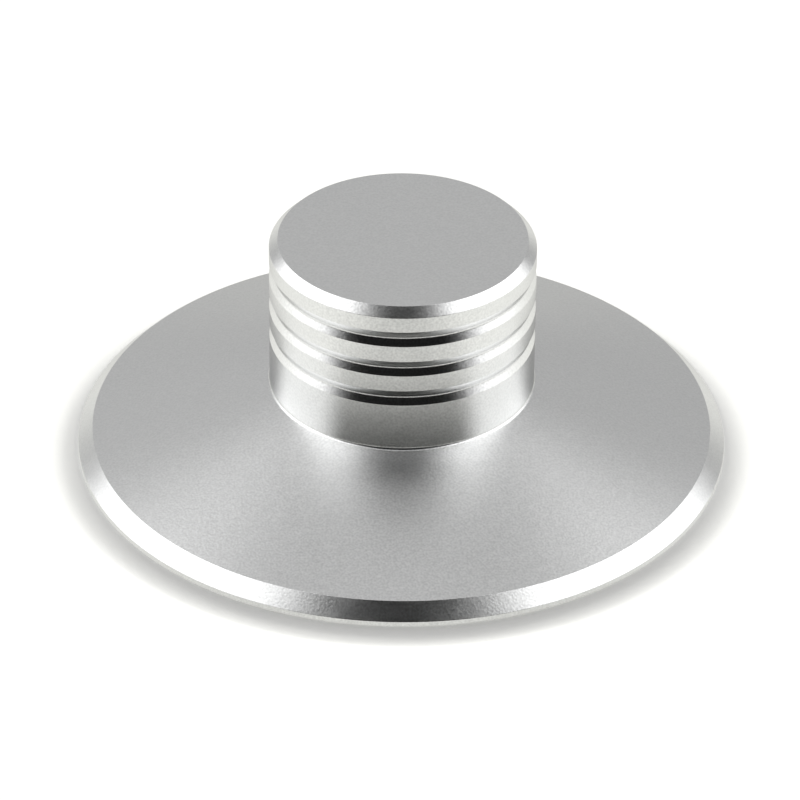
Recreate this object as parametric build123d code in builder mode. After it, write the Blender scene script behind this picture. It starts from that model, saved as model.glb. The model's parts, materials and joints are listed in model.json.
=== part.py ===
"""Record weight clamp, turned from one piece of aluminium.

A thin bevelled disc rises in a straight cone to a plain knob with grip grooves. Underneath,
a narrow ring rests on the record's label round a shallow relief, and a blind bore takes the
turntable's spindle. Millimetres, +Z up, origin on the axis at the resting plane.
"""

import os
from math import radians, tan

from build123d import *

# Disc
disc_diameter = 80.0
rim_height = 0.75  # straight band round the rim
rim_bevel = 1.8  # 45 degree bevel above the band, as wide as it is high
cone_rise = 6.85  # from the bevel's upper edge to the knob's foot

# Knob
knob_diameter = 32.6
knob_height = 19.85  # from its foot to its flat top
top_bevel = 1.07
foot_fillet = 0.4

# Grip grooves, each a shallow vee with a round root
groove_count = 3
groove_pitch = 4.2
first_groove_drop = 4.1  # middle of the upper groove, below the knob's top
groove_width = 2.05
vee_depth = 0.45  # to the point of the vee, before its root is rounded
groove_root_radius = 0.45

# Underside
rest_ring_width = 6.0
relief_depth = 0.8
edge_break = 0.15

# Spindle bore
spindle_diameter = 7.1
spindle_clearance = 0.075  # on the radius
bore_depth = 19.2  # from the relief to the end of the straight wall
bore_lead_in = 0.6
drill_point_angle = 118.0

# Places that follow from the sizes
disc_radius = disc_diameter / 2
knob_radius = knob_diameter / 2
shoulder_radius = disc_radius - rim_bevel
shoulder_height = rim_height + rim_bevel
foot_height = shoulder_height + cone_rise
overall_height = foot_height + knob_height
first_groove_height = overall_height - first_groove_drop
bore_radius = spindle_diameter / 2 + spindle_clearance
bore_end_height = relief_depth + bore_depth
drill_point_height = bore_radius / tan(radians(drill_point_angle / 2))

with BuildPart() as clamp_body:
    # Turned section: radius along X, height along Y of the sketch
    with BuildSketch(Plane.XZ) as section:
        with BuildLine():
            Polyline(
                (0, 0),
                (disc_radius, 0),
                (disc_radius, rim_height),
                (shoulder_radius, shoulder_height),
                (knob_radius, foot_height),
                (knob_radius, overall_height),
                (0, overall_height),
                close=True,
            )
        make_face()
        foot_corner = section.vertices().group_by(Axis.X)[1].sort_by(Axis.Y)[0]
        fillet(foot_corner, foot_fillet)

        groove_middles = [(knob_radius, first_groove_height - i * groove_pitch) for i in range(groove_count)]
        vee = [(0, groove_width / 2), (-vee_depth, 0), (0, -groove_width / 2)]
        with Locations(*groove_middles):
            Polygon(*vee, align=None, mode=Mode.SUBTRACT)
        groove_roots = section.vertices().group_by(Axis.X)[1]
        fillet(groove_roots, groove_root_radius)
    revolve(axis=Axis.Z)

    # Bevel round the knob's flat top
    chamfer(clamp_body.edges().group_by(Axis.Z)[-1], top_bevel)

    # Relief that leaves only the outer ring to rest on the label, with both its edges broken
    with BuildSketch(Plane.XY):
        Circle(disc_radius - rest_ring_width)
    extrude(amount=relief_depth, mode=Mode.SUBTRACT)
    chamfer(clamp_body.edges().group_by(Axis.Z)[0], edge_break)

    # Blind bore for the spindle, with a lead-in at its mouth and a drill point at its end
    with Locations(Plane(origin=(0, 0, relief_depth), z_dir=(0, 0, -1))):
        CounterSinkHole(
            radius=bore_radius,
            counter_sink_radius=bore_radius + bore_lead_in,
            depth=bore_depth,
            counter_sink_angle=90,
        )
    with Locations((0, 0, bore_end_height)):
        Cone(
            bottom_radius=bore_radius,
            top_radius=0,
            height=drill_point_height,
            align=(Align.CENTER, Align.CENTER, Align.MIN),
            mode=Mode.SUBTRACT,
        )

clamp_body.part.label = "clamp_body"
os.makedirs("parts", exist_ok=True)
export_step(clamp_body.part, "parts/clamp_body.step")
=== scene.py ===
"""Record weight clamp: finish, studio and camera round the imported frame.

The clamp is one turned piece, so its shape is a section spun about the Z axis by a Geometry
Nodes tree. Everything is in metres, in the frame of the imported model.
"""
import json
import logging
import math
from dataclasses import dataclass, field

import bpy
from mathutils import Matrix, Vector

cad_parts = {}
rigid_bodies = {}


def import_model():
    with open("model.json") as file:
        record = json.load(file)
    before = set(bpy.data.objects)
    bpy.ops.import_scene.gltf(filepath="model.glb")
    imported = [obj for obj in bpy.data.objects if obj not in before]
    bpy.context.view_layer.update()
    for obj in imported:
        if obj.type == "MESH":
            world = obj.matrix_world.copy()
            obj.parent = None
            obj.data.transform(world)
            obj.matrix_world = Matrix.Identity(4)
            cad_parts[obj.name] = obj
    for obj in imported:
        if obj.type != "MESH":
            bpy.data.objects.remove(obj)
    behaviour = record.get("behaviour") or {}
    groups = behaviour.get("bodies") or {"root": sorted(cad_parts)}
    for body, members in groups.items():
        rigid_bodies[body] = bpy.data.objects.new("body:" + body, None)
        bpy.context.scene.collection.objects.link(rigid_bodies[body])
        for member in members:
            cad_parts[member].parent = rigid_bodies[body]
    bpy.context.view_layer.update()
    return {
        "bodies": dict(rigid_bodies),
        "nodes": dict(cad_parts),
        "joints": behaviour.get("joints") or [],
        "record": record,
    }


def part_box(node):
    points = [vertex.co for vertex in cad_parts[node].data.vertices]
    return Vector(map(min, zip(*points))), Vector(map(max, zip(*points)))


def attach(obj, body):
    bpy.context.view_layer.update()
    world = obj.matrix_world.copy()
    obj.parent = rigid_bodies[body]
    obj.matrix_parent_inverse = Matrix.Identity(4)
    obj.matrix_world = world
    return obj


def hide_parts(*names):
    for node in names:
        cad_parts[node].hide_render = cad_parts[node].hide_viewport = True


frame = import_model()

MM = 0.001
PHOTO_SIDE_PX = 800
NOISE_MIDDLE = 0.5
log = logging.getLogger("record_clamp")


@dataclass(frozen=True)
class NodeSheet:
    """Adds nodes to one tree and joins them."""

    tree: bpy.types.NodeTree

    def node(self, kind: str, **settings: object) -> bpy.types.Node:
        """Adds one node.

        Args:
            kind: name of the node type.
            **settings: properties of the node, by name.

        Returns:
            The new node.
        """
        made = self.tree.nodes.new(kind)
        for name, value in settings.items():
            setattr(made, name, value)
        return made

    def feed(self, target: bpy.types.NodeSocket, value: object) -> None:
        """Joins a socket to an input, or sets the input to a plain value.

        Args:
            target: the input.
            value: the socket that feeds it, or its new value.
        """
        if isinstance(value, bpy.types.NodeSocket):
            self.tree.links.new(value, target)
        else:
            target.default_value = value

    def reckon(self, kind: str, operation: str,
               operands: tuple[object, ...]) -> bpy.types.NodeSocket:
        """Adds a node that works on its inputs in order.

        Args:
            kind: name of the node type.
            operation: what the node does.
            operands: sockets or plain numbers for its inputs.

        Returns:
            The node's output.
        """
        made = self.node(kind, operation=operation)
        for socket, operand in zip(made.inputs, operands):
            self.feed(socket, operand)
        return made.outputs[0]

    def math(self, operation: str, *operands: object) -> bpy.types.NodeSocket:
        """Adds a Math node and returns its output."""
        return self.reckon("ShaderNodeMath", operation, operands)

    def whole(self, operation: str, *operands: object) -> bpy.types.NodeSocket:
        """Adds an Integer Math node and returns its output."""
        return self.reckon("FunctionNodeIntegerMath", operation, operands)

    def remap(self, value: object, low: float, high: float, to_low: object, to_high: object,
              smooth: bool = False) -> bpy.types.NodeSocket:
        """Maps a value from one range to another.

        Args:
            value: the socket to map.
            low: start of the range that the value is read in.
            high: end of that range.
            to_low: result at the start.
            to_high: result at the end.
            smooth: eases in and out instead of running straight.

        Returns:
            The mapped output.
        """
        ramp = "SMOOTHSTEP" if smooth else "LINEAR"
        made = self.node("ShaderNodeMapRange", interpolation_type=ramp, clamp=True)
        for name, given in (("Value", value), ("From Min", low), ("From Max", high),
                            ("To Min", to_low), ("To Max", to_high)):
            self.feed(made.inputs[name], given)
        return made.outputs["Result"]


@dataclass(frozen=True)
class GrainGroup:
    """Shader node group for the fine blasted grain that every surface of the metal has.

    Attributes:
        name: the group's name.
        grain_detail: finer octaves of noise in the grain.
        cloud_detail: finer octaves of noise in the cloud.
    """

    name: str = "blasted_grain"
    grain_detail: float = 0.0
    cloud_detail: float = 3.0

    def tree(self) -> bpy.types.NodeTree:
        """Builds the group once and returns it after that.

        Returns:
            A tree with inputs Vector, Grain Scale and Cloud Scale, and outputs Grain and Cloud.
        """
        made = bpy.data.node_groups.get(self.name)
        if made:
            return made
        made = bpy.data.node_groups.new(self.name, "ShaderNodeTree")
        for name, side, kind in (("Vector", "INPUT", "NodeSocketVector"),
                                 ("Grain Scale", "INPUT", "NodeSocketFloat"),
                                 ("Cloud Scale", "INPUT", "NodeSocketFloat"),
                                 ("Grain", "OUTPUT", "NodeSocketFloat"),
                                 ("Cloud", "OUTPUT", "NodeSocketFloat")):
            made.interface.new_socket(name, in_out=side, socket_type=kind)
        sheet = NodeSheet(made)
        given = sheet.node("NodeGroupInput")
        result = sheet.node("NodeGroupOutput")
        for scale, detail, output in (("Grain Scale", self.grain_detail, "Grain"),
                                      ("Cloud Scale", self.cloud_detail, "Cloud")):
            noise = sheet.node("ShaderNodeTexNoise", noise_dimensions="3D")
            noise.inputs["Detail"].default_value = detail
            sheet.feed(noise.inputs["Vector"], given.outputs["Vector"])
            sheet.feed(noise.inputs["Scale"], given.outputs[scale])
            sheet.feed(result.inputs[output], noise.outputs["Fac"])
        return made


@dataclass(frozen=True)
class AluminiumFinish:
    """One finish of the aluminium, with its grain and its tool marks.

    Attributes:
        name: the material's name.
        dark: colour of the darkest specks.
        light: colour of the lightest specks.
        smoothest: roughness at the bottom of the cloud.
        roughest: roughness at the top of the cloud.
        grain_size: width of one speck.
        grain_depth: height of the grain.
        cloud_size: width of the patches in which the roughness wanders.
        cloud_low: level of the cloud that counts as its bottom.
        cloud_high: level of the cloud that counts as its top.
        edge: tint at grazing angles.
        clear_until: turn away from the eye up to which the specks are clear, from 0 to 1.
        faint_from: turn away from the eye from which they are faint.
        faintest: share of their contrast that is left there.
        tool_feed: distance from one tool mark to the next.
        tool_depth: height of the tool marks, zero where there are none.
    """

    name: str
    dark: tuple[float, float, float]
    light: tuple[float, float, float]
    smoothest: float
    roughest: float
    grain_size: float
    grain_depth: float
    cloud_size: float
    cloud_low: float = 0.3
    cloud_high: float = 0.7
    edge: tuple[float, float, float] = (0.86, 0.86, 0.86)
    clear_until: float = 0.15
    faint_from: float = 0.45
    faintest: float = 0.40
    tool_feed: float = 0.0
    tool_depth: float = 0.0

    def material(self) -> bpy.types.Material:
        """Builds the material.

        Returns:
            A metal whose colour, roughness and relief follow the grain.
        """
        made = bpy.data.materials.new(self.name)
        made.use_nodes = True
        made.node_tree.nodes.clear()
        sheet = NodeSheet(made.node_tree)
        place = sheet.node("ShaderNodeTexCoord").outputs["Object"]
        grain = sheet.node("ShaderNodeGroup", node_tree=GrainGroup().tree())
        sheet.feed(grain.inputs["Vector"], place)
        sheet.feed(grain.inputs["Grain Scale"], 1 / self.grain_size)
        sheet.feed(grain.inputs["Cloud Scale"], 1 / self.cloud_size)

        metal = sheet.node("ShaderNodeBsdfMetallic", distribution="BECKMANN", fresnel_type="F82")
        metal.inputs["Edge Tint"].default_value = (*self.edge, 1)
        colour = sheet.node("ShaderNodeMix", data_type="RGBA")
        facing = sheet.node("ShaderNodeLayerWeight").outputs["Facing"]
        contrast = sheet.remap(facing, self.clear_until, self.faint_from, 1.0, self.faintest)
        speck = sheet.math("SUBTRACT", grain.outputs["Grain"], NOISE_MIDDLE)
        share = sheet.math("MULTIPLY_ADD", speck, contrast, NOISE_MIDDLE)
        sheet.feed(colour.inputs["Factor"], share)
        colour.inputs["A"].default_value = (*self.dark, 1)
        colour.inputs["B"].default_value = (*self.light, 1)
        sheet.feed(metal.inputs["Base Color"], self.colour_output(colour))
        rough = sheet.remap(grain.outputs["Cloud"], self.cloud_low, self.cloud_high,
                            self.smoothest, self.roughest)
        sheet.feed(metal.inputs["Roughness"], rough)
        sheet.feed(metal.inputs["Normal"], self.relief(sheet, place, grain.outputs["Grain"]))
        result = sheet.node("ShaderNodeOutputMaterial")
        sheet.feed(result.inputs["Surface"], metal.outputs["BSDF"])
        return made

    @staticmethod
    def colour_output(mix: bpy.types.Node) -> bpy.types.NodeSocket:
        """Returns the colour output of a Mix node, which also has number outputs of that name."""
        return next(s for s in mix.outputs if s.type == "RGBA")

    def relief(self, sheet: NodeSheet, place: bpy.types.NodeSocket,
               grain: bpy.types.NodeSocket) -> bpy.types.NodeSocket:
        """Adds the bump of the grain and of the tool marks.

        Args:
            sheet: the material's nodes.
            place: the object coordinates.
            grain: height of the grain, from 0 to 1.

        Returns:
            The normal of the worked surface.
        """
        bump = sheet.node("ShaderNodeBump")
        bump.inputs["Distance"].default_value = self.grain_depth
        sheet.feed(bump.inputs["Height"], grain)
        if not self.tool_depth:
            return bump.outputs["Normal"]
        axes = sheet.node("ShaderNodeSeparateXYZ")
        sheet.feed(axes.inputs[0], place)
        across = sheet.math("MULTIPLY", axes.outputs["X"], axes.outputs["X"])
        along = sheet.math("MULTIPLY", axes.outputs["Y"], axes.outputs["Y"])
        radius = sheet.math("SQRT", sheet.math("ADD", across, along))
        turned = sheet.math("ADD", radius, axes.outputs["Z"])
        wave = sheet.math("SINE", sheet.math("MULTIPLY", turned, 2 * math.pi / self.tool_feed))
        marks = sheet.node("ShaderNodeBump")
        marks.inputs["Distance"].default_value = self.tool_depth
        sheet.feed(marks.inputs["Height"], wave)
        sheet.feed(marks.inputs["Normal"], bump.outputs["Normal"])
        return marks.outputs["Normal"]


SATIN = AluminiumFinish(
    name="blasted_anodised_aluminium",
    dark=(0.630, 0.635, 0.635),
    light=(0.950, 0.955, 0.950),
    smoothest=0.315,
    roughest=0.34,
    grain_size=0.27 * MM,
    grain_depth=0.007 * MM,
    cloud_size=1.6 * MM,
)
TURNED = AluminiumFinish(
    name="turned_anodised_aluminium",
    dark=(0.72, 0.725, 0.725),
    light=(0.78, 0.785, 0.78),
    smoothest=0.24,
    roughest=0.34,
    grain_size=0.30 * MM,
    grain_depth=0.010 * MM,
    cloud_size=4.0 * MM,
    tool_feed=0.18 * MM,
    tool_depth=0.004 * MM,
)


@dataclass(frozen=True)
class Corner:
    """One corner of the turned section, rounded by an arc.

    Attributes:
        radius: distance from the axis.
        height: height above the resting plane.
        rounding: radius of the arc, zero at the two ends of the section.
        steps: straight steps in the arc.
    """

    radius: float
    height: float
    rounding: float = 0.0
    steps: int = 3

    @property
    def point(self) -> Vector:
        """The corner's place in the section plane."""
        return Vector((self.radius, self.height))


@dataclass
class SpunSection:
    """Geometry Nodes tree that spins a section about the Z axis into a closed skin.

    Attributes:
        name: the tree's name.
        lower_mark: attribute that marks the faces with the lower finish.
        weld: distance up to which points are joined.
        sockets: identifier of each input, by its name.
    """

    name: str = "spin_section"
    lower_mark: str = "lower"
    weld: float = 0.001 * MM
    sockets: dict[str, str] = field(default_factory=dict)

    def tree(self) -> bpy.types.NodeTree:
        """Builds the tree and notes the identifier of each of its inputs.

        Returns:
            A tree with inputs Geometry, Segments, Lower Start, Upper Finish and Lower Finish.
        """
        made = bpy.data.node_groups.new(self.name, "GeometryNodeTree")
        made.interface.new_socket("Geometry", in_out="INPUT", socket_type="NodeSocketGeometry")
        for name, kind in (("Segments", "NodeSocketInt"),
                           ("Lower Start", "NodeSocketInt"),
                           ("Upper Finish", "NodeSocketMaterial"),
                           ("Lower Finish", "NodeSocketMaterial")):
            socket = made.interface.new_socket(name, in_out="INPUT", socket_type=kind)
            self.sockets[name] = socket.identifier
        made.interface.new_socket("Geometry", in_out="OUTPUT", socket_type="NodeSocketGeometry")
        sheet = NodeSheet(made)
        given = sheet.node("NodeGroupInput").outputs
        skin = self.spin(sheet, given)
        skin = self.close(sheet, skin)
        skin = self.dress(sheet, skin, given)
        result = sheet.node("NodeGroupOutput")
        sheet.feed(result.inputs["Geometry"], skin)
        return made

    def spin(self, sheet: NodeSheet, given: bpy.types.NodeOutputs) -> bpy.types.NodeSocket:
        """Lays a grid whose rows follow the section and whose columns go round the axis.

        Args:
            sheet: the tree's nodes.
            given: the tree's inputs.

        Returns:
            The open skin, with its lower faces marked.
        """
        size = sheet.node("GeometryNodeAttributeDomainSize", component="MESH")
        sheet.feed(size.inputs["Geometry"], given["Geometry"])
        rows = size.outputs["Point Count"]
        grid = sheet.node("GeometryNodeMeshGrid")
        sheet.feed(grid.inputs["Vertices X"], sheet.whole("ADD", given["Segments"], 1))
        sheet.feed(grid.inputs["Vertices Y"], rows)
        index = sheet.node("GeometryNodeInputIndex").outputs["Index"]

        sample = sheet.node("GeometryNodeSampleIndex", data_type="FLOAT_VECTOR", domain="POINT")
        sheet.feed(sample.inputs["Geometry"], given["Geometry"])
        position = sheet.node("GeometryNodeInputPosition").outputs["Position"]
        sheet.feed(sample.inputs["Value"], position)
        sheet.feed(sample.inputs["Index"], sheet.whole("MODULO", index, rows))
        section = sheet.node("ShaderNodeSeparateXYZ")
        sheet.feed(section.inputs[0], sample.outputs["Value"])
        column = sheet.whole("DIVIDE_FLOOR", index, rows)
        angle = sheet.math("MULTIPLY", sheet.math("DIVIDE", column, given["Segments"]), 2 * math.pi)
        place = sheet.node("ShaderNodeCombineXYZ")
        radius = section.outputs["X"]
        sheet.feed(place.inputs["X"], sheet.math("MULTIPLY", radius, sheet.math("COSINE", angle)))
        sheet.feed(place.inputs["Y"], sheet.math("MULTIPLY", radius, sheet.math("SINE", angle)))
        sheet.feed(place.inputs["Z"], section.outputs["Z"])
        moved = sheet.node("GeometryNodeSetPosition")
        sheet.feed(moved.inputs["Geometry"], grid.outputs["Mesh"])
        sheet.feed(moved.inputs["Position"], place.outputs["Vector"])

        run = sheet.whole("MODULO", index, sheet.whole("SUBTRACT", rows, 1))
        below = sheet.node("FunctionNodeCompare", data_type="INT", operation="GREATER_EQUAL")
        first, second = (socket for socket in below.inputs if socket.type == "INT")
        sheet.feed(first, run)
        sheet.feed(second, given["Lower Start"])
        mark = sheet.node("GeometryNodeStoreNamedAttribute", data_type="BOOLEAN", domain="FACE")
        sheet.feed(mark.inputs["Name"], self.lower_mark)
        sheet.feed(mark.inputs["Geometry"], moved.outputs["Geometry"])
        sheet.feed(mark.inputs["Value"], below.outputs["Result"])
        return mark.outputs["Geometry"]

    def close(self, sheet: NodeSheet, skin: bpy.types.NodeSocket) -> bpy.types.NodeSocket:
        """Welds the seam and the two poles, turns the faces outward and shades the skin smooth.

        Args:
            sheet: the tree's nodes.
            skin: the open skin.

        Returns:
            The closed skin.
        """
        weld = sheet.node("GeometryNodeMergeByDistance")
        sheet.feed(weld.inputs["Geometry"], skin)
        sheet.feed(weld.inputs["Distance"], self.weld)
        outward = sheet.node("GeometryNodeFlipFaces")
        sheet.feed(outward.inputs["Mesh"], weld.outputs["Geometry"])
        smooth = sheet.node("GeometryNodeSetShadeSmooth")
        sheet.feed(smooth.inputs["Geometry"], outward.outputs["Mesh"])
        return smooth.outputs["Geometry"]

    def dress(self, sheet: NodeSheet, skin: bpy.types.NodeSocket,
              given: bpy.types.NodeOutputs) -> bpy.types.NodeSocket:
        """Gives the whole skin the upper finish, then its lower faces the lower one.

        Args:
            sheet: the tree's nodes.
            skin: the closed skin.
            given: the tree's inputs.

        Returns:
            The dressed skin.
        """
        real = sheet.node("GeometryNodeRealizeInstances")
        sheet.feed(real.inputs["Geometry"], skin)
        upper = sheet.node("GeometryNodeSetMaterial")
        sheet.feed(upper.inputs["Geometry"], real.outputs["Geometry"])
        sheet.feed(upper.inputs["Material"], given["Upper Finish"])
        marked = sheet.node("GeometryNodeInputNamedAttribute", data_type="BOOLEAN")
        sheet.feed(marked.inputs["Name"], self.lower_mark)
        lower = sheet.node("GeometryNodeSetMaterial")
        sheet.feed(lower.inputs["Geometry"], upper.outputs["Geometry"])
        sheet.feed(lower.inputs["Selection"], marked.outputs["Attribute"])
        sheet.feed(lower.inputs["Material"], given["Lower Finish"])
        return lower.outputs["Geometry"]


@dataclass
class ClampBody:
    """The turned body: disc, knob with grip grooves, underside and spindle bore.

    Attributes:
        disc_radius: radius of the rim.
        height: from the resting plane to the knob's flat top.
        bore_radius: radius of the spindle bore.
        rim_height: straight band round the rim.
        rim_bevel: 45 degree bevel above the band, as wide as it is high.
        cone_rise: from the bevel's upper edge to the knob's foot.
        knob_radius: radius of the knob between its grooves.
        top_bevel: 45 degree bevel round the knob's flat top.
        foot_fillet: radius where the knob meets the cone.
        groove_count: number of grip grooves.
        groove_pitch: from the middle of one groove to the next.
        first_groove_drop: from the knob's top to the middle of the upper groove.
        groove_width: width of a groove at its mouth.
        vee_depth: depth to the point of the vee, before its root is rounded.
        groove_root_radius: radius of a groove's root.
        rest_ring_width: width of the ring that rests on the label.
        relief_depth: depth of the relief inside the ring.
        edge_break: bevel on both edges of the ring.
        bore_depth: from the relief to the end of the bore's straight wall.
        bore_lead_in: bevel at the bore's mouth.
        drill_point_angle: angle of the drill point, in degrees.
        edge_radius: rounding of the sharp edges.
        shade_margin: length of the strip that each rounded corner has on both sides.
        arc_steps: straight steps in the arc of a fillet or a groove's root.
        segments: steps round the axis.
        node: the CAD node that the piece stands for.
    """

    disc_radius: float
    height: float
    bore_radius: float
    rim_height: float = 0.75 * MM
    rim_bevel: float = 1.8 * MM
    cone_rise: float = 6.85 * MM
    knob_radius: float = 16.3 * MM
    top_bevel: float = 1.07 * MM
    foot_fillet: float = 0.4 * MM
    groove_count: int = 3
    groove_pitch: float = 4.2 * MM
    first_groove_drop: float = 4.1 * MM
    groove_width: float = 2.05 * MM
    vee_depth: float = 0.45 * MM
    groove_root_radius: float = 0.45 * MM
    rest_ring_width: float = 6.0 * MM
    relief_depth: float = 0.8 * MM
    edge_break: float = 0.15 * MM
    bore_depth: float = 19.2 * MM
    bore_lead_in: float = 0.6 * MM
    drill_point_angle: float = 118.0
    edge_radius: float = 0.05 * MM
    shade_margin: float = 0.03 * MM
    arc_steps: int = 8
    segments: int = 384
    node: str = "clamp_body"

    @classmethod
    def from_frame(cls, packed: dict) -> "ClampBody":
        """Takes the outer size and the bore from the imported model.


        Returns:
            The body, with its other sizes at their own values.
        """
        _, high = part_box(cls.node)
        bore = next(m for m in packed["record"]["mounts"] if m["name"] == "spindle_bore")
        return cls(disc_radius=high[0], height=high[2], bore_radius=bore["dims"]["r_mm"] * MM)

    def upper_corners(self) -> list[Corner]:
        """Lists the corners of the section's upper side.

        Returns:
            The corners from the middle of the knob's top out to the rim.
        """
        edge = self.edge_radius
        knob = self.knob_radius
        shoulder = self.rim_height + self.rim_bevel
        corners = [
            Corner(0, self.height),
            Corner(knob - self.top_bevel, self.height, edge),
            Corner(knob, self.height - self.top_bevel, edge),
        ]
        for i in range(self.groove_count):
            middle = self.height - self.first_groove_drop - i * self.groove_pitch
            corners += [
                Corner(knob, middle + self.groove_width / 2, edge),
                Corner(knob - self.vee_depth, middle, self.groove_root_radius, self.arc_steps),
                Corner(knob, middle - self.groove_width / 2, edge),
            ]
        corners += [
            Corner(knob, shoulder + self.cone_rise, self.foot_fillet, self.arc_steps),
            Corner(self.disc_radius - self.rim_bevel, shoulder, edge),
            Corner(self.disc_radius, self.rim_height, edge),
        ]
        return corners

    def lower_corners(self) -> list[Corner]:
        """Lists the corners of the section's underside.

        Returns:
            The corners from the rim's lower edge in to the end of the bore.
        """
        edge = self.edge_radius
        relief = self.disc_radius - self.rest_ring_width
        bore_end = self.relief_depth + self.bore_depth
        drill_point = self.bore_radius / math.tan(math.radians(self.drill_point_angle / 2))
        return [
            Corner(self.disc_radius, self.edge_break, edge),
            Corner(self.disc_radius - self.edge_break, 0, edge),
            Corner(relief + self.edge_break, 0, edge),
            Corner(relief, self.edge_break, edge),
            Corner(relief, self.relief_depth, edge),
            Corner(self.bore_radius + self.bore_lead_in, self.relief_depth, edge),
            Corner(self.bore_radius, self.relief_depth + self.bore_lead_in, edge),
            Corner(self.bore_radius, bore_end, edge),
            Corner(0, bore_end + drill_point),
        ]

    def rounded(self, before: Corner, corner: Corner, after: Corner) -> list[Vector]:
        """Turns one corner into an arc with a margin point on each side.

        The margins keep the shading of the long straight runs flat.

        Args:
            before: the corner ahead of it in the section.
            corner: the corner to round.
            after: the corner that follows it.

        Returns:
            The points of the rounded corner, in the section's order.
        """
        inward = (before.point - corner.point).normalized()
        onward = (after.point - corner.point).normalized()
        half = inward.angle(onward) / 2
        reach = corner.rounding / math.tan(half)
        middle = corner.point + (inward + onward).normalized() * (corner.rounding / math.sin(half))
        start = corner.point + inward * reach
        end = corner.point + onward * reach
        first = start - middle
        sweep = first.angle_signed(end - middle)
        turns = [Matrix.Rotation(-sweep * i / corner.steps, 2) for i in range(corner.steps + 1)]
        arc = [middle + turn @ first for turn in turns]
        return [start + inward * self.shade_margin, *arc, end + onward * self.shade_margin]

    def section(self) -> tuple[list[Vector], int]:
        """Works out the whole section.

        Returns:
            Its points, and the number of the run where the underside starts.
        """
        upper = self.upper_corners()
        corners = upper + self.lower_corners()
        points = [corners[0].point]
        lower_start = 0
        for i in range(1, len(corners) - 1):
            if i == len(upper):
                lower_start = len(points)
            points += self.rounded(*corners[i - 1:i + 2])
        points.append(corners[-1].point)
        return points, lower_start

    def build(self) -> bpy.types.Object:
        """Spins the section into the finished piece.

        Returns:
            A plain mesh object at the origin, riding on the root in place of the CAD node.
        """
        points, lower_start = self.section()
        outline = bpy.data.meshes.new("clamp_section")
        runs = [(i, i + 1) for i in range(len(points) - 1)]
        outline.from_pydata([(p.x, 0, p.y) for p in points], runs, [])
        draft = bpy.data.objects.new("clamp_section", outline)
        bpy.context.scene.collection.objects.link(draft)
        spin = SpunSection()
        modifier = draft.modifiers.new("spin", "NODES")
        modifier.node_group = spin.tree()
        modifier[spin.sockets["Segments"]] = self.segments
        modifier[spin.sockets["Lower Start"]] = lower_start
        modifier[spin.sockets["Upper Finish"]] = SATIN.material()
        modifier[spin.sockets["Lower Finish"]] = TURNED.material()
        ready = draft.evaluated_get(bpy.context.evaluated_depsgraph_get())
        skin = bpy.data.meshes.new_from_object(ready)
        bpy.data.objects.remove(draft)
        skin.name = "turned_clamp"
        piece = bpy.data.objects.new("turned_clamp", skin)
        bpy.context.scene.collection.objects.link(piece)
        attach(piece, "root")
        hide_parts(self.node)
        return piece


@dataclass(frozen=True)
class StudioLamp:
    """A rectangular lamp that looks at the clamp.

    Attributes:
        name: the lamp's name.
        azimuth: its direction, in degrees from the camera's side towards the right.
        elevation: its height, in degrees above the floor.
        distance: how far it hangs from the origin.
        width: its width.
        height: its size across the width.
        radiance: how bright its face is.
    """

    name: str
    azimuth: float
    elevation: float
    distance: float
    width: float
    height: float
    radiance: float

    def build(self, floor: bpy.types.Object) -> bpy.types.Object:
        """Places the lamp.

        Args:
            floor: the floor, which the lamp leaves to the room's light.

        Returns:
            The lamp, which shows in the metal it lights but not to the camera.
        """
        lamp = bpy.data.lights.new(self.name, "AREA")
        lamp.shape = "RECTANGLE"
        lamp.size = self.width
        lamp.size_y = self.height
        lamp.energy = self.radiance * math.pi * self.width * self.height
        around = math.radians(self.azimuth)
        above = math.radians(self.elevation)
        level = math.cos(above)
        away = Vector((math.sin(around) * level, -math.cos(around) * level, math.sin(above)))
        made = bpy.data.objects.new(self.name, lamp)
        made.location = away * self.distance
        made.rotation_euler = away.to_track_quat("Z", "Y").to_euler()
        made.visible_camera = False
        receivers = bpy.data.collections.new(self.name)
        receivers.objects.link(floor)
        receivers.collection_objects[0].light_linking.link_state = "EXCLUDE"
        made.light_linking.receiver_collection = receivers
        bpy.context.scene.collection.objects.link(made)
        return made


LAMPS = (
    StudioLamp("softbox_left", azimuth=-88, elevation=34, distance=0.60,
               width=0.74, height=0.74, radiance=1.41),
    StudioLamp("softbox_right", azimuth=88, elevation=34, distance=0.60,
               width=0.74, height=0.74, radiance=1.47),
    StudioLamp("softbox_top", azimuth=180, elevation=92, distance=0.60,
               width=0.36, height=0.36, radiance=0.27),
)


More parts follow.
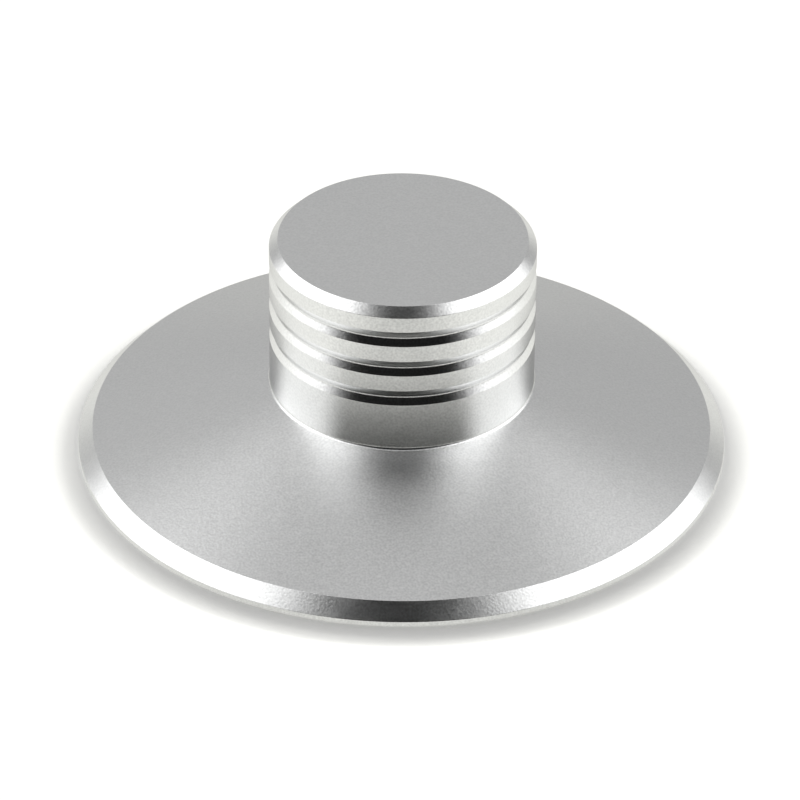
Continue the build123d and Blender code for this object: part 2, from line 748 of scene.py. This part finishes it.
@dataclass
class Studio:
    """Pale floor, its lamps and a room that is dark behind the camera.

    Attributes:
        floor_side: side of the floor.
        floor_front: how far the floor reaches in front of the clamp's axis.
        floor_colour: the floor's own grey.
        floor_in_metal: its grey as the metal mirrors it.
        warmth: tint of the light that is added to the floor.
        camera_lift: light added to the floor for the camera, up to white.
        contact_reach: how far the contact shadow looks for the clamp.
        contact_depth: power that deepens the contact shadow.
        contact_least: share of the camera's light that stays in the darkest shadow.
        contact_samples: rays that the contact shadow takes.
        shadow_lean: how far the contact shadow leans to the front, in degrees.
        metal_lift: light added to the floor as the metal mirrors it.
        side_lift: light added to that towards the softboxes.
        side_near: distance from the axis at which the side light starts.
        side_far: distance from the axis at which it is full.
        room_dark: the room's light behind the camera.
        room_back: the room's light behind the clamp.
        dark_until: depth of the room, from -1 in front to 1 behind, where its dark part ends.
        ramp: power of the rise from dark to light.
        horizon_share: share of the room's light that is left at the horizon.
        full_from: height, from 0 at the horizon to 1 overhead, where the light is full.
        left_gain: share by which the room is brighter on the left.
    """

    floor_side: float = 6.0
    floor_front: float = 0.085
    floor_colour: float = 0.90
    floor_in_metal: float = 0.12
    warmth: tuple[float, float, float] = (1.0, 1.0, 0.955)
    camera_lift: float = 0.80
    contact_reach: float = 0.0040
    contact_depth: float = 7.0
    contact_least: float = 0.255
    contact_samples: int = 8
    shadow_lean: float = 40.0
    metal_lift: float = 0.752
    side_lift: float = 0.24
    side_near: float = 0.015
    side_far: float = 0.050
    room_dark: float = 0.014
    room_back: float = 0.572
    dark_until: float = -0.46
    ramp: float = 0.36
    horizon_share: float = 0.85
    full_from: float = 0.45
    left_gain: float = 0.12

    def floor(self) -> bpy.types.Object:
        """Lays the floor in the plane that the clamp rests on.

        Returns:
            The floor.
        """
        half = self.floor_side / 2
        front = -self.floor_front
        mesh = bpy.data.meshes.new("studio_floor")
        corners = [(-half, front, 0), (half, front, 0), (half, half, 0), (-half, half, 0)]
        mesh.from_pydata(corners, [], [(0, 1, 2, 3)])
        mesh.materials.append(self.floor_material())
        made = bpy.data.objects.new("studio_floor", mesh)
        bpy.context.scene.collection.objects.link(made)
        return made

    def floor_material(self) -> bpy.types.Material:
        """Makes a pale floor, with light added to what the camera and the metal see of it.

        Returns:
            A material with the contact shadow in the camera's light and bright sides in the metal's.
        """
        made = bpy.data.materials.new("studio_floor")
        made.use_nodes = True
        made.node_tree.nodes.clear()
        sheet = NodeSheet(made.node_tree)
        path = sheet.node("ShaderNodeLightPath")
        contact = sheet.node("ShaderNodeAmbientOcclusion", samples=self.contact_samples)
        contact.inputs["Distance"].default_value = self.contact_reach
        lean = math.radians(self.shadow_lean)
        towards_light = sheet.node("ShaderNodeCombineXYZ")
        towards_light.inputs["Y"].default_value = math.sin(lean)
        towards_light.inputs["Z"].default_value = math.cos(lean)
        sheet.feed(contact.inputs["Normal"], towards_light.outputs["Vector"])
        open_share = sheet.math("POWER", contact.outputs["AO"], self.contact_depth)
        lit_share = sheet.math("MAXIMUM", open_share, self.contact_least)
        full = sheet.math("MULTIPLY", path.outputs["Is Camera Ray"], self.camera_lift)
        seen = sheet.math("MULTIPLY", lit_share, full)
        mirrored = sheet.math("MAXIMUM", path.outputs["Is Glossy Ray"],
                              path.outputs["Is Transmission Ray"])
        pale = sheet.node("ShaderNodeBsdfDiffuse")
        grey = sheet.remap(mirrored, 0, 1, self.floor_colour, self.floor_in_metal)
        sheet.feed(pale.inputs["Color"], grey)
        axes = sheet.node("ShaderNodeSeparateXYZ")
        sheet.feed(axes.inputs[0], sheet.node("ShaderNodeTexCoord").outputs["Object"])
        aside = sheet.math("ABSOLUTE", axes.outputs["X"])
        shown = sheet.remap(aside, self.side_near, self.side_far,
                            self.metal_lift, self.metal_lift + self.side_lift, smooth=True)
        lift = sheet.node("ShaderNodeEmission")
        lift.inputs["Color"].default_value = (*self.warmth, 1)
        sheet.feed(lift.inputs["Strength"], sheet.math("MULTIPLY_ADD", mirrored, shown, seen))
        both = sheet.node("ShaderNodeAddShader")
        sheet.feed(both.inputs[0], pale.outputs["BSDF"])
        sheet.feed(both.inputs[1], lift.outputs["Emission"])
        result = sheet.node("ShaderNodeOutputMaterial")
        sheet.feed(result.inputs["Surface"], both.outputs["Shader"])
        return made

    def room(self) -> bpy.types.World:
        """Makes the room's light: grey behind the clamp, dark behind the camera.

        Returns:
            The world, which the camera itself sees as plain white.
        """
        made = bpy.data.worlds.new("studio_room")
        made.use_nodes = True
        made.node_tree.nodes.clear()
        sheet = NodeSheet(made.node_tree)
        axes = sheet.node("ShaderNodeSeparateXYZ")
        sheet.feed(axes.inputs[0], sheet.node("ShaderNodeTexCoord").outputs["Generated"])
        backward = sheet.remap(axes.outputs["Y"], self.dark_until, 1, 0, 1)
        rise = sheet.math("POWER", backward, self.ramp)
        level = sheet.remap(rise, 0, 1, self.room_dark, self.room_back)
        upward = sheet.remap(axes.outputs["Z"], 0, self.full_from,
                             self.horizon_share, 1.0, smooth=True)
        leftward = sheet.math("MULTIPLY_ADD", axes.outputs["X"], -self.left_gain, 1.0)
        level = sheet.math("MULTIPLY", level, sheet.math("MULTIPLY", upward, leftward))
        seen = sheet.node("ShaderNodeLightPath").outputs["Is Camera Ray"]
        light = sheet.node("ShaderNodeBackground")
        light.inputs["Color"].default_value = (1, 1, 1, 1)
        sheet.feed(light.inputs["Strength"], sheet.remap(seen, 0, 1, level, 1.0))
        result = sheet.node("ShaderNodeOutputWorld")
        sheet.feed(result.inputs["Surface"], light.outputs["Background"])
        return made

    def build(self) -> list[bpy.types.Object]:
        """Sets up the room, the floor and the lamps.

        Returns:
            The floor, followed by the lamps.
        """
        scene = bpy.context.scene
        scene.view_settings.view_transform = "Standard"
        scene.world = self.room()
        floor = self.floor()
        return [floor, *(lamp.build(floor) for lamp in LAMPS)]


@dataclass
class PhotoCamera:
    """Camera at the photograph's angle.

    Attributes:
        elevation: the camera's height above the floor, in degrees.
        distance: its distance from the origin.
        focal_px: focal length, in pixels of the photograph.
        aim: the point that it looks at.
        roll: how far it is turned about its own axis, in degrees.
        sensor: width of its sensor, in millimetres.
        near_clip: distance from which it sees things.
    """

    elevation: float = 33.949
    distance: float = 0.7136
    focal_px: float = 5750.2
    aim: tuple[float, float, float] = (-0.000196, 0.0, 0.005742)
    roll: float = 0.513
    sensor: float = 36.0
    near_clip: float = 0.01

    def build(self) -> bpy.types.Object:
        """Places the camera and makes it the scene's own.

        Returns:
            The camera object.
        """
        above = math.radians(self.elevation)
        place = Vector((0, -math.cos(above), math.sin(above))) * self.distance
        forward = (Vector(self.aim) - place).normalized()
        right = forward.cross(Vector((0, 0, 1))).normalized()
        up = right.cross(forward)
        level = Matrix((right, up, -forward)).transposed().to_4x4()
        lens = bpy.data.cameras.new("photo_camera")
        lens.sensor_width = self.sensor
        lens.lens = self.focal_px / PHOTO_SIDE_PX * self.sensor
        lens.clip_start = self.near_clip
        made = bpy.data.objects.new("photo_camera", lens)
        turn = Matrix.Rotation(math.radians(self.roll), 4, "Z")
        made.matrix_world = Matrix.Translation(place) @ level @ turn
        bpy.context.scene.collection.objects.link(made)
        bpy.context.scene.camera = made
        return made


def main() -> None:
    """Builds the clamp, the studio and the camera, in that order, and reports each piece."""
    logging.basicConfig(level=logging.INFO, format="%(name)s: %(message)s")
    piece = ClampBody.from_frame(frame).build()
    log.info("%s: %d faces", piece.name, len(piece.data.polygons))
    for made in Studio().build():
        log.info("%s: %.2f m above the floor", made.name, made.location.z)
    camera = PhotoCamera().build()
    log.info("%s: %.0f mm lens", camera.name, camera.data.lens)


if __name__ == "__main__":
    main()
